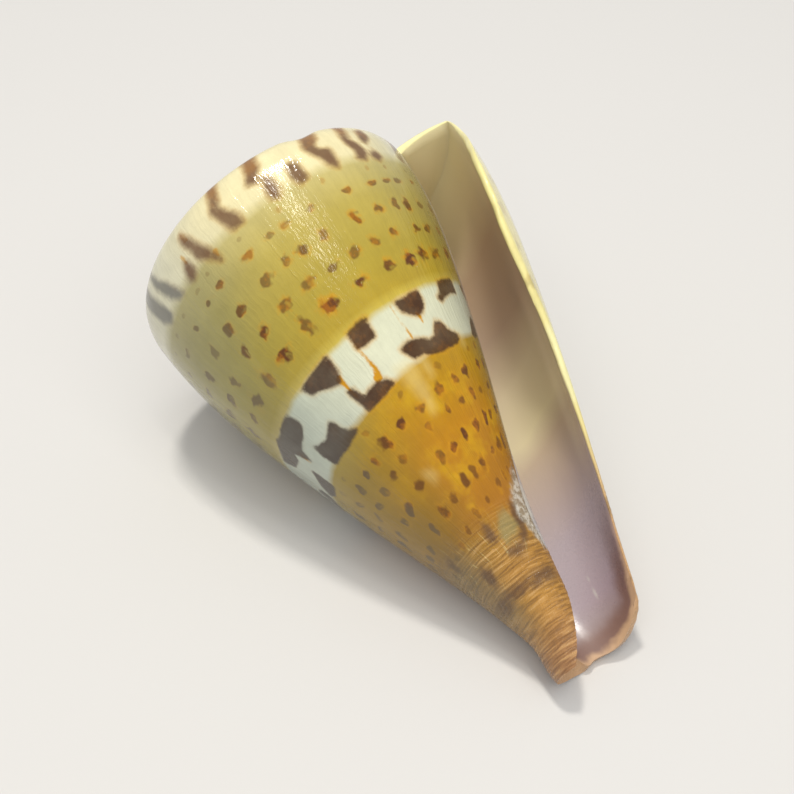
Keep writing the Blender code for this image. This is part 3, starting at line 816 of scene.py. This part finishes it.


# Colours of the outside by share of the way down, on its warm and its cool side, those of the front end and
# of the inside by height, and those of the whorls' tops by share across. The cool side's greyer, darker
# colours are partly the shell's own tone and partly painted shade where the sides turn away from the light.
shellColours = {
    "warm": ((0.0, (224, 214, 174)), (0.185, (218, 207, 161)), (0.215, (184, 170, 106)),
             (0.30, (174, 156, 74)), (0.42, (163, 143, 51)), (0.50, (168, 143, 42)),
             (0.520, (186, 164, 64)), (0.534, (202, 203, 175)), (0.644, (203, 203, 177)),
             (0.660, (172, 131, 16)), (0.72, (170, 124, 2)), (0.80, (172, 118, 4)),
             (0.90, (164, 110, 12)), (1.0, (156, 102, 26))),
    "cool": ((0.0, (214, 212, 192)), (0.185, (204, 200, 172)), (0.215, (158, 150, 102)),
             (0.30, (146, 138, 84)), (0.42, (144, 134, 70)), (0.50, (148, 134, 60)),
             (0.520, (162, 148, 86)), (0.534, (173, 180, 164)), (0.644, (176, 182, 166)),
             (0.660, (148, 128, 54)), (0.72, (144, 118, 40)), (0.80, (140, 110, 32)),
             (0.90, (130, 100, 34)), (1.0, (122, 92, 44))),
    "base": ((0.0, (150, 108, 72)), (3.0, (158, 114, 68)), (6.0, (174, 126, 60)), (8.6, (178, 130, 56)),
             (12.0, (166, 120, 52)), (16.6, (152, 112, 38)), (20.0, (160, 108, 18))),
    "inner": ((0.0, (130, 108, 96)), (3.0, (146, 124, 120)), (7.0, (164, 144, 150)),
              (14.0, (184, 168, 172)), (19.0, (198, 178, 168)), (25.0, (214, 192, 164)),
              (29.0, (246, 232, 188)), (36.0, (242, 226, 188)), (42.0, (214, 188, 160)),
              (52.0, (218, 190, 156)), (57.0, (244, 226, 180)), (64.0, (248, 236, 188)),
              (70.0, (246, 236, 192))),
    "top": ((0.0, (206, 190, 150)), (0.25, (228, 216, 180)), (1.0, (234, 226, 196))),
    "dark": (66, 40, 16), "darkRust": (104, 62, 16), "darkCool": (72, 62, 52), "amber": (190, 134, 6),
    "golden": (190, 150, 10), "pale": (206, 184, 116), "dot": (92, 52, 14), "dotAmber": (142, 84, 6),
    "dotCool": (98, 80, 48), "ray": (98, 66, 44), "rayTop": (140, 92, 42), "rayCool": (108, 106, 98),
    "cream": (244, 233, 164), "rimTan": (196, 158, 118), "rimBrown": (118, 84, 70),
    "glaze": (188, 184, 182), "deep": (186, 180, 184), "crust": (206, 202, 190), "chalk": (142, 132, 114),
    "stain": (84, 60, 44), "band": (84, 60, 44), "slate": (104, 98, 72), "moss": (138, 132, 88),
    "ribDark": (96, 64, 34), "ribPale": (206, 164, 106),
}


def ramp(tree, value, stops, top=1.0):  # a colour by value, from 0 to top
    node = wire(tree, "ShaderNodeValToRGB", {0: maths(tree, "DIVIDE", value, top) if top != 1.0 else value})
    band = node.color_ramp
    while len(band.elements) < len(stops):
        band.elements.new(0.5)
    for element, (place, colour) in zip(band.elements, stops):
        element.position = place / top
        element.color = paint(*colour)
    return node.outputs["Color"]


def mixColours(tree, share, under, top, how):
    node = wire(tree, "ShaderNodeMix", data_type="RGBA", blend_type=how)
    for index, value in ((0, share), (6, under), (7, top)):
        if isinstance(value, bpy.types.NodeSocket):
            tree.links.new(value, node.inputs[index])
        else:
            node.inputs[index].default_value = value
    return node.outputs[2]


# Painted highlight: white glints in the canal inside the mouth, standing in for the lamp's reflection there:
# growth angle, height, half width, half height and strength
mouthGlints = ((0.947, 6.5, 0.03, 0.7, 0.5), (0.936, 8.4, 0.02, 0.4, 0.35))

growthScars = (1.12, 2.2, 3.3, 4.62, 4.98)  # growth angles where growth paused and left a raised line

# How the paint is laid on: scales of its noises, how far its edges wander, where its parts fade in (by growth
# angle, height, share of the way down, or distance to a mark), and how rough and bumpy it is
shellPaint = {
    "broad": 70.0, "cloud": 260.0, "mottle": 620.0, "grain": 1500.0, "bandScale": 420.0,
    "blotScale": 700.0, "dotScale": 750.0, "speckleScale": 1250.0, "lineRate": 24.0, "fineLineRate": 48.0,
    "ribRate": 3.8, "bandWander": 0.01, "blotWander": 0.8, "markWander": 3.5, "crustWander": 4.5,
    "dotWander": 2.4, "rimWander": 2.2, "glazeWander": 0.5, "warmMiddle": 5.05,
    "goldenBelow": (0.64, 0.7), "frontEnd": (19.5, 15.0), "frontHeight": 20.0, "greyFrom": (4.4, 3.7),
    "greyUntil": (2.4, 3.2), "stainHeight": 9.8, "stainWidth": (1.6, 0.3), "newGrowth": (0.32, -0.1),
    "lipEdge": (0.5, 0.0), "tanToCream": (10.0, 26.0), "shoulder": (0.4, 0.25), "crispEdge": (0.3, -0.28),
    "softEdge": (0.5, -0.55), "amberEdge": (0.12, -0.25), "fringeEdge": (0.7, 0.0),
    "paleEdge": (1.5, -1.0), "coolRays": (4.15, 3.95), "haloEdge": (1.75, 0.95), "coreEdge": (1.15, 0.6),
    "hollowMiddle": (0.3, 0.35, 0.0), "markEdge": (0.9, -0.9), "mossEdge": (0.8, -1.0),
    "deepInside": (0.5, 1.6), "tanRim": (0.3, 1.2), "brownRim": (4.2, 1.6), "rimHeight": (16.0, 5.0),
    "overWhorl": (5.2, 5.3), "overWhorlEnds": (6.5, 6.1), "scarWidth": 0.012, "topGrooves": 5,
    "edgeStrength": 0.75, "crustStrength": 0.8, "rimStrength": 0.8, "roughness": 0.05,
    "frontRoughness": 0.16, "grainRoughness": 0.14, "canalRoughness": 0.35, "canalHeight": (4.5, 1.5),
    "bumpStrength": 0.7, "bumpDepth": 0.08 * mm, "ior": 1.54, "lineShade": 0.20, "cloudShade": 0.26,
    "mottleShade": 0.14, "lineBump": 0.35, "fineLineBump": 1.2, "ribBump": 1.8, "scarBump": 0.6,
    "grooveBump": 0.35, "grainBump": 0.06, "softStrength": 0.92, "coreStrength": 0.95, "blotShrink": -0.25,
}


# How strongly each colour is laid over what is under it
shellStrengths = {
    "golden": 0.6, "ribDark": 0.55, "ribPale": 0.6, "slate": 0.55, "band": 0.8, "stain": 0.75,
    "moss": 0.6, "cream": 0.35, "darkRust": 0.5, "rayTop": 0.8, "rayCool": 1.0, "pale": 0.45,
    "amber": 1.0, "deep": 0.35, "crust": 1.0,
}


def paintShell(material):
    material.use_nodes = True
    tree = material.node_tree
    tree.nodes.clear()
    c, p = shellColours, shellPaint
    plus, times, minus, ratio, timesPlus, larger, cosine = sums(tree)
    tint = lambda name: paint(*c[name])
    blend = lambda share, under, top, how="MIX": mixColours(tree, share, under, top, how)
    ease = lambda value, low, high: between(tree, value, low, high)
    read = lambda label: wire(tree, "ShaderNodeAttribute", attribute_name=label).outputs["Fac"]
    uvPlace = lambda label: wire(tree, "ShaderNodeUVMap", uv_map=label).outputs[0]
    vector = lambda kind, *values: wire(tree, "ShaderNodeVectorMath", dict(enumerate(values)), operation=kind)
    length = lambda value: vector("LENGTH", value).outputs["Value"]
    off = lambda value, middle: maths(tree, "ABSOLUTE", minus(value, middle))
    centred = lambda value, size: times(minus(value, 0.5), size)
    wander = lambda value, by, size: plus(value, centred(by, size))

    def lay(under, top, *shares):  # a named or mixed colour over another
        if isinstance(top, str):
            shares, top = (*shares, shellStrengths[top]), tint(top)
        return blend(times(*shares), under, top)

    place = wire(tree, "ShaderNodeTexCoord").outputs["Object"]
    spots = lambda scale, detail=3.0, roughness=0.6: noise(tree, place, scale, detail, roughness)
    broad, cloud = spots(p["broad"], 2.0, 0.5), spots(p["cloud"])
    mottle, grain = spots(p["mottle"], 3.0, 0.65), spots(p["grain"])
    growthMap = wire(tree, "ShaderNodeSeparateXYZ", {0: uvPlace("growthMap")}).outputs
    angle, down = times(growthMap[0], turn), growthMap[1]
    height, across, glaze, rim = (read(label) for label in ("height", "across", "glaze", "rim"))

    def streaks(x, xRate, y, yRate, detail, roughness):
        return noise(tree, join(tree, times(x, xRate), times(y, yRate)), 1.0, detail, roughness)

    # Growth lines run down the shell, a little wavy, and lean over towards the front end
    lean = times(larger(minus(shellRelief["Lean below"], height), 0.0), shellRelief["Lean"])
    wavy = wander(plus(angle, lean), mottle, 0.05)
    lines = streaks(wavy, p["lineRate"], height, 0.12, 3.0, 0.6)
    fineLines = streaks(wavy, p["fineLineRate"], height, 0.25, 2.0, 0.55)

    # Ground colour by the share of the way down, warmer on the side away from the lip. The cool colours
    # towards the sides are partly the shell's own tone and partly painted shade.
    downHere = wander(down, spots(p["bandScale"]), p["bandWander"])
    turned = cosine(times(minus(angle, p["warmMiddle"]), 2.0))
    # share of the warm colours: high on the lit face, low on the sides, where the cool colours are partly
    # painted shade
    warmLitShare = ease(wander(timesPlus(turned, 0.62, 0.5), broad, 0.8), 0.0, 1.0)
    ground = blend(warmLitShare, ramp(tree, downHere, c["cool"]), ramp(tree, downHere, c["warm"]))
    ground = lay(ground, "golden", ease(cloud, 0.45, 0.7), ease(down, *p["goldenBelow"]), warmLitShare)
    shades = ((lines, "lineShade"), (cloud, "cloudShade"), (mottle, "mottleShade"))
    shade = plus(*(centred(value, p[name]) for value, name in shades), 1.0)

    # Front end, coloured by height, with fine darker and paler lines along its ribs
    baseHeight = wander(height, broad, 3.0)
    onBase = ease(baseHeight, *p["frontEnd"])
    swayed = plus(height, centred(cloud, 0.5), centred(broad, 1.6))
    rib = streaks(swayed, p["ribRate"], angle, 1.3, 2.0, 0.6)
    baseColour = ramp(tree, baseHeight, c["base"], p["frontHeight"])
    baseColour = lay(baseColour, "ribDark", ease(rib, 0.54, 0.34))
    baseColour = lay(baseColour, "ribPale", ease(rib, 0.52, 0.70))
    greyer = times(ease(angle, *p["greyFrom"]), ease(angle, *p["greyUntil"]))
    baseColour = lay(baseColour, "slate", greyer, ease(height, 3.0, 9.0))
    ground = lay(ground, baseColour, onBase)
    stain = ease(off(wander(height, broad, 2.0), p["stainHeight"]), *p["stainWidth"])
    span = times(ease(angle, 3.2, 3.8), ease(angle, 5.6, 5.0))
    patch = times(ease(cloud, 0.30, 0.54), timesPlus(span, 0.8, 0.15))
    ground = lay(ground, "band", stain, patch)
    ground = lay(ground, "stain", ease(wander(read("stainMark"), cloud, p["markWander"]), *p["markEdge"]))
    ground = lay(ground, "moss", ease(wander(read("mossMark"), cloud, p["markWander"]), *p["mossEdge"]))
    glints = times(ease(fineLines, 0.60, 0.68), ease(mottle, 0.45, 0.6))
    ground = lay(ground, "cream", glints, onBase, ease(height, 8.0, 15.0))

    # The newest growth by the lip and its edge are paler, and tan at the front end
    newGrowth = ease(angle, *p["newGrowth"])
    edgeColour = blend(ease(height, *p["tanToCream"]), tint("rimTan"), tint("cream"))
    ground = lay(ground, edgeColour, larger(newGrowth, ease(rim, *p["lipEdge"])), p["edgeStrength"])
    onTop = ease(across, 1.0, 0.97)
    ground = lay(ground, ramp(tree, across, c["top"]), onTop)

    # Blots: an amber fringe under the dark middle, softer and rustier on the shoulder
    wobble = centred(spots(p["blotScale"], 3.0, 0.7), p["blotWander"])
    darkMark = plus(read("darkMark"), p["blotShrink"], wobble)
    onShoulder = ease(down, *p["shoulder"])
    dark = lay(tint("dark"), "darkRust", ease(mottle, 0.48, 0.66))
    dark = blend(warmLitShare, tint("darkCool"), dark)
    ray = lay(tint("ray"), "rayTop", ease(wander(down, mottle, 0.1), 0.15, 0.10))
    ray = lay(ray, "rayCool", ease(wander(angle, cloud, 0.4), *p["coolRays"]))
    dark = lay(dark, ray, onShoulder)
    crisp = ease(darkMark, *p["crispEdge"])
    soft = times(ease(darkMark, *p["softEdge"]), p["softStrength"])
    inBlot = timesPlus(minus(soft, crisp), onShoulder, crisp)
    fringe = times(ease(darkMark, *p["fringeEdge"]), timesPlus(warmLitShare, 0.4, 0.05))
    inAmber = larger(ease(plus(read("amberMark"), wobble), *p["amberEdge"]), fringe)
    # pale patches, the shell's own colour, except one small painted glint low on the front
    colour = lay(ground, "pale", ease(plus(read("paleMark"), wobble), *p["paleEdge"]))
    colour = lay(colour, "amber", inAmber, timesPlus(onShoulder, -0.3, 1.0))
    colour = lay(colour, dark, inBlot, timesPlus(cloud, 0.3, 0.80))

    # Dots, each an uneven oval with an amber rim, some with a paler middle
    nudge = {"Vector": place, "Scale": p["dotScale"], "Detail": 1.5}
    nudge = wire(tree, "ShaderNodeTexNoise", nudge).outputs["Color"]
    nudge = vector("ADD", nudge, (-0.5, -0.5, -0.5)).outputs[0]
    moved = vector("MULTIPLY_ADD", nudge, (p["dotWander"], p["dotWander"], 0.0), uvPlace("dotMap")).outputs[0]
    flat = vector("MULTIPLY", moved, (1.0, 1.0, 0.0)).outputs[0]
    away = length(flat)
    strength = times(read("dotStrength"), timesPlus(newGrowth, -0.6, 1.0))
    dotColour = blend(ease(mottle, 0.45, 0.65), tint("dot"), tint("dotAmber"))
    dotColour = blend(ease(warmLitShare, 0.0, 0.35), tint("dotCool"), dotColour)
    hollow = length(vector("SUBTRACT", flat, p["hollowMiddle"]).outputs[0])
    hollow = times(ease(hollow, 0.6, 0.1), ease(broad, 0.48, 0.6))
    halo = times(ease(away, *p["haloEdge"]), strength, ease(mottle, 0.42, 0.62))
    colour = lay(colour, "amber", halo, timesPlus(warmLitShare, 0.5, 0.1))
    core = times(ease(away, *p["coreEdge"]), strength, p["coreStrength"])
    colour = lay(colour, dotColour, core, timesPlus(hollow, -0.6, 1.0))
    colour = blend(1.0, colour, join(tree, shade, shade, shade), "MULTIPLY")

    # Chalky crust beside the mouth, near the front end
    crust = blend(ease(spots(p["speckleScale"], 3.0, 0.75), 0.40, 0.62), tint("chalk"), tint("crust"))
    crusted = ease(wander(read("crustMark"), cloud, p["crustWander"]), *p["markEdge"])
    colour = lay(colour, crust, crusted, p["crustStrength"])

    # Inside the mouth
    inner = ramp(tree, wander(height, broad, 6.0), c["inner"], shellForm["length"])
    inner = lay(inner, "deep", ease(angle, *p["deepInside"]))
    rimPlace = wander(rim, cloud, p["rimWander"])
    rimColour = blend(ease(rimPlace, *p["tanRim"]), tint("rimTan"), tint("rimBrown"))
    nearRim = times(ease(rimPlace, *p["brownRim"]), ease(height, *p["rimHeight"]))
    inner = lay(inner, rimColour, nearRim, p["rimStrength"])
    # painted highlight: the canal's white glints, laid on in the crust colour
    for middle, level, wide, tall, share in mouthGlints:
        apart = length(join(tree, ratio(minus(angle, middle), wide), ratio(minus(height, level), tall)))
        inner = lay(inner, "crust", ease(wander(apart, mottle, 0.4), 1.5, 0.1), share)
    overWhorl = blend(ease(cloud, 0.45, 0.62), tint("glaze"), tint("crust"))
    inner = lay(inner, overWhorl, ease(angle, *p["overWhorl"]), ease(angle, *p["overWhorlEnds"]))
    glazed = ease(wander(glaze, cloud, p["glazeWander"]), 0.3, 0.7)
    colour = lay(colour, inner, glazed)

    rough = timesPlus(grain, p["grainRoughness"], timesPlus(onBase, p["frontRoughness"], p["roughness"]))
    rough = timesPlus(times(glazed, ease(height, *p["canalHeight"])), p["canalRoughness"], rough)
    bumps = timesPlus(lines, p["lineBump"], times(fineLines, p["fineLineBump"]))
    bumps = timesPlus(rib, times(onBase, p["ribBump"]), bumps)
    for scar in growthScars:
        scarred = times(ease(off(wavy, scar), p["scarWidth"], 0.0), ease(cloud, 0.42, 0.6))
        bumps = timesPlus(scarred, p["scarBump"], bumps)
    grooves = cosine(times(across, p["topGrooves"] * turn))
    bumps = timesPlus(times(grooves, onTop), p["grooveBump"], bumps)
    bumps = times(timesPlus(grain, p["grainBump"], bumps), timesPlus(glazed, -0.9, 1.0))
    bump = {"Strength": p["bumpStrength"], "Distance": p["bumpDepth"], "Height": bumps}
    normal = wire(tree, "ShaderNodeBump", bump).outputs[0]
    inputs = {"Base Color": colour, "Roughness": rough, "Normal": normal, "IOR": p["ior"]}
    shader = wire(tree, "ShaderNodeBsdfPrincipled", inputs)
    wire(tree, "ShaderNodeOutputMaterial", {"Surface": shader.outputs[0]})


shellMaterial = bpy.data.materials.new("cone_shell")
paintShell(shellMaterial)
shellData = meshFromSkin(buildSkin(), "cone_shell")
print("coiled skin drawn")
toFloor = layDown(shellData) @ restPlace()
shellData = pressRelief(shellData, shellMaterial)
shellPiece = bpy.data.objects.new("cone_shell", shellData)
bpy.context.scene.collection.objects.link(shellPiece)
shellData.calc_loop_triangles()
print("relief pressed in, triangles", len(shellData.loop_triangles))

# The camera stands where the photograph's did, given in the upright shell's own millimetres
cameraView = {
    "azimuth": -89.35, "elevation": -20.18, "roll": -36.59, "distance": 158.03, "target": (0.0, 0.0, 35.0),
    "lens": 60.48, "shiftX": -0.0269, "shiftY": 0.0219, "nearest": 0.01,
}


def addCamera():
    v = cameraView
    az, el, roll = (math.radians(v[key]) for key in ("azimuth", "elevation", "roll"))
    back = Vector((math.cos(az) * math.cos(el), math.sin(az) * math.cos(el), math.sin(el)))
    right = Vector((0, 0, 1)).cross(back).normalized()
    up = back.cross(right)
    across, along = math.cos(roll), math.sin(roll)
    axes = Matrix((right * across + up * along, up * across - right * along, back))
    data = bpy.data.cameras.new("camera")
    data.lens, data.shift_x, data.shift_y = v["lens"], v["shiftX"], v["shiftY"]
    data.clip_start = v["nearest"]
    camera = bpy.data.objects.new("camera", data)
    bpy.context.scene.collection.objects.link(camera)
    eye = Matrix.Translation(Vector(v["target"]) + back * v["distance"]) @ axes.transposed().to_4x4()
    camera.location, facing, _ = (toFloor @ eye).decompose()
    camera.rotation_mode, camera.rotation_quaternion = "QUATERNION", facing
    bpy.context.scene.camera = camera
    print("camera at", [round(c, 4) for c in camera.location], "looking along",
          [round(c, 4) for c in facing @ Vector((0, 0, -1))])


addCamera()

floorLook = {"width": 1.2, "colour": (205, 203, 200), "roughness": 0.75}


def addFloor():
    half = floorLook["width"] / 2
    mesh = bpy.data.meshes.new("floor")
    corners = [(-half, -half, 0), (half, -half, 0), (half, half, 0), (-half, half, 0)]
    mesh.from_pydata(corners, [], [(0, 1, 2, 3)])
    floor = bpy.data.objects.new("floor", mesh)
    bpy.context.scene.collection.objects.link(floor)
    material = bpy.data.materials.new("floor_paint")
    material.use_nodes = True
    shader = material.node_tree.nodes["Principled BSDF"]
    shader.inputs["Base Color"].default_value = paint(*floorLook["colour"])
    shader.inputs["Roughness"].default_value = floorLook["roughness"]
    mesh.materials.append(material)


addFloor()

# Area lights aimed at the shell; only the small ones are seen in its gloss
studioLights = {
    "key": {"place": (-0.15, 0.01, 0.62), "size": (0.075, 0.075), "watts": 1.9, "gloss": True,
            "colour": (1.0, 0.97, 0.90)},
    "strip": {"place": (0.05, -0.03, 0.62), "size": (0.30, 0.02), "watts": 0.4, "gloss": True,
              "colour": (1.0, 0.97, 0.90)},
    "front": {"place": (0.46, -0.20, 0.81), "size": (1.0, 1.0), "watts": 6.7, "gloss": False,
              "colour": (1.0, 0.985, 0.95)},
}
worldLight = {"Color": (0.93, 0.95, 1.0, 1.0), "Strength": 0.42}


def addLights():
    for name, light in studioLights.items():
        data = bpy.data.lights.new(name, "AREA")
        data.shape, (data.size, data.size_y) = "RECTANGLE", light["size"]
        data.energy, data.color = light["watts"], light["colour"]
        lamp = bpy.data.objects.new(name, data)
        bpy.context.scene.collection.objects.link(lamp)
        lamp.location = light["place"]
        lamp.visible_glossy = light["gloss"]
        lamp.rotation_mode = "QUATERNION"
        lamp.rotation_quaternion = Vector((0, 0, -1)).rotation_difference(-Vector(light["place"]))
    world = bpy.data.worlds.new("studio")
    bpy.context.scene.world = world
    world.use_nodes = True
    for label, value in worldLight.items():
        world.node_tree.nodes["Background"].inputs[label].default_value = value


addLights()
bpy.context.scene.view_settings.view_transform = "Standard"
print("camera, floor and lights placed")

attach(shellPiece, "root")
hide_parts("shell")
